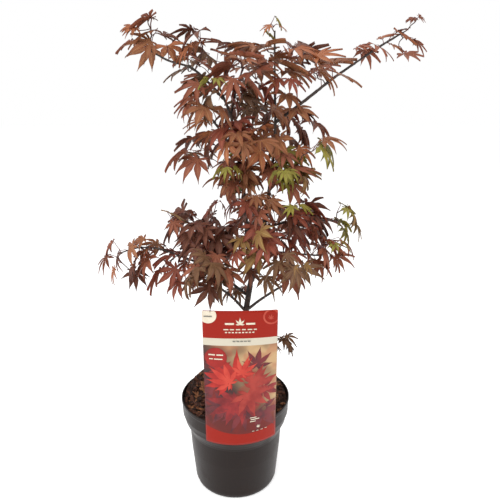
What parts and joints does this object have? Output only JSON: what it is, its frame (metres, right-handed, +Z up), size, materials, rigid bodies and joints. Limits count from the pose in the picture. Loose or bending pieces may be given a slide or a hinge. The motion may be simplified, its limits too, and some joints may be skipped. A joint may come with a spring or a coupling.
{
  "type": "potted japanese maple",
  "caption": "Young bronze-leaved japanese maple in a black nursery pot, with forked stems, tiered masses of cut leaves and a picture card at the rim.",
  "frame": {"origin": "centre of the pot's flat underside, at the level the pot stands on", "axes": "+Z up the pot's axis, +X to the right and -Y towards the front, where the picture card stands"},
  "size_m": [0.5106, 0.2814, 0.7993],
  "materials": {
    "pot_plastic": "satin black-grey moulded plastic",
    "bark_mulch": "loose damp bark chips",
    "bark": "smooth dark young bark",
    "bronze_leaves": "satin bronze-red leaves",
    "dark_leaves": "satin dark brown-red leaves",
    "copper_leaves": "satin copper young leaves",
    "lime_leaves": "satin yellow-green young leaves",
    "printed_card": null,
    "card_back": "plain white card back"
  },
  "bodies": {
    "root": {"arm_left_bough": "bark", "arm_right_bough": "bark", "compost": "bark_mulch", "foliage_arm_left_inner": "bronze_leaves", "foliage_arm_left_tip": "copper_leaves", "foliage_arm_right_inner": "copper_leaves", "foliage_arm_right_mid": "dark_leaves", "foliage_arm_right_tip": "copper_leaves", "foliage_low_centre_left": "bronze_leaves", "foliage_low_front": "bronze_leaves", "foliage_low_left_front": "dark_leaves", "foliage_low_left_leaf": "copper_leaves", "foliage_low_rear": "dark_leaves", "foliage_low_rear_left": "bronze_leaves", "foliage_low_rear_right": "bronze_leaves", "foliage_low_right": "bronze_leaves", "foliage_low_right_front": "dark_leaves", "foliage_low_right_out": "copper_leaves", "foliage_low_right_tip": "lime_leaves", "foliage_low_sprig": "dark_leaves", "foliage_mid_centre": "dark_leaves", "foliage_mid_centre_low": "bronze_leaves", "foliage_mid_left": "bronze_leaves", "foliage_mid_left_low": "bronze_leaves", "foliage_mid_left_upper": "dark_leaves", "foliage_mid_rear": "bronze_leaves", "foliage_mid_rear_left": "dark_leaves", "foliage_mid_rear_right": "bronze_leaves", "foliage_mid_right": "bronze_leaves", "foliage_mid_right_low": "copper_leaves", "foliage_spray_left": "bronze_leaves", "foliage_spray_left_inner": "bronze_leaves", "foliage_spray_left_tip": "copper_leaves", "foliage_top_front": "bronze_leaves", "foliage_top_left": "bronze_leaves", "foliage_top_rear": "bronze_leaves", "foliage_top_rear_left": "dark_leaves", "foliage_top_rear_right": "bronze_leaves", "foliage_top_right": "bronze_leaves", "foliage_top_shoot": "copper_leaves", "foliage_waist_left": "lime_leaves", "foliage_waist_right": "lime_leaves", "label_card": "printed_card", "label_tongue": "card_back", "leader_left": "bark", "leader_right": "bark", "low_left_bough": "bark", "low_rear_bough": "bark", "low_rear_left_bough": "bark", "low_rear_right_bough": "bark", "low_right_bough": "bark", "low_right_out_bough": "bark", "low_right_tip_bough": "bark", "low_sprig_bough": "bark", "mid_left_bough": "bark", "mid_rear_bough": "bark", "pot": "pot_plastic", "spray_left_bough": "bark", "top_rear_bough": "bark", "trunk": "bark"}
  },
  "joints": []
}
